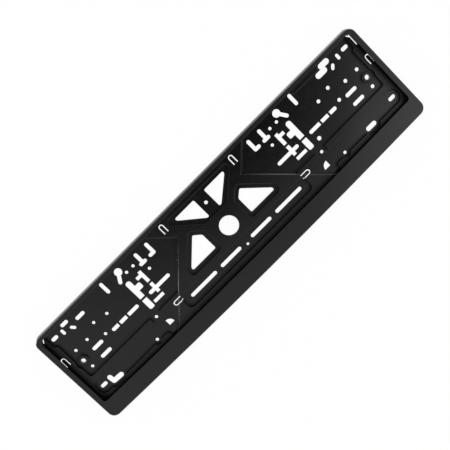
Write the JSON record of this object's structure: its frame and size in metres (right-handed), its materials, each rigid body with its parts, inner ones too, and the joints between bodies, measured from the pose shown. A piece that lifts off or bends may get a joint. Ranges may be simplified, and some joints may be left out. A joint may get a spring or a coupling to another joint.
{
  "type": "number plate holder",
  "caption": "Moulded tray frame that carries a car number plate: thin lipped rim, wide lower strip, and a stepped floor with screw slots, spring tongues and lightening windows.",
  "frame": {"origin": "middle of the back plane, under the centre of the outline", "axes": "+X along the plate, +Y towards the top edge of the plate, +Z out of the front, so the holder lies on its back"},
  "size_m": [0.534, 0.1406, 0.013],
  "materials": {
    "black_plastic": "matt black moulded plastic with a fine grain"
  },
  "bodies": {
    "root": {"plate_holder": "black_plastic"}
  },
  "joints": []
}
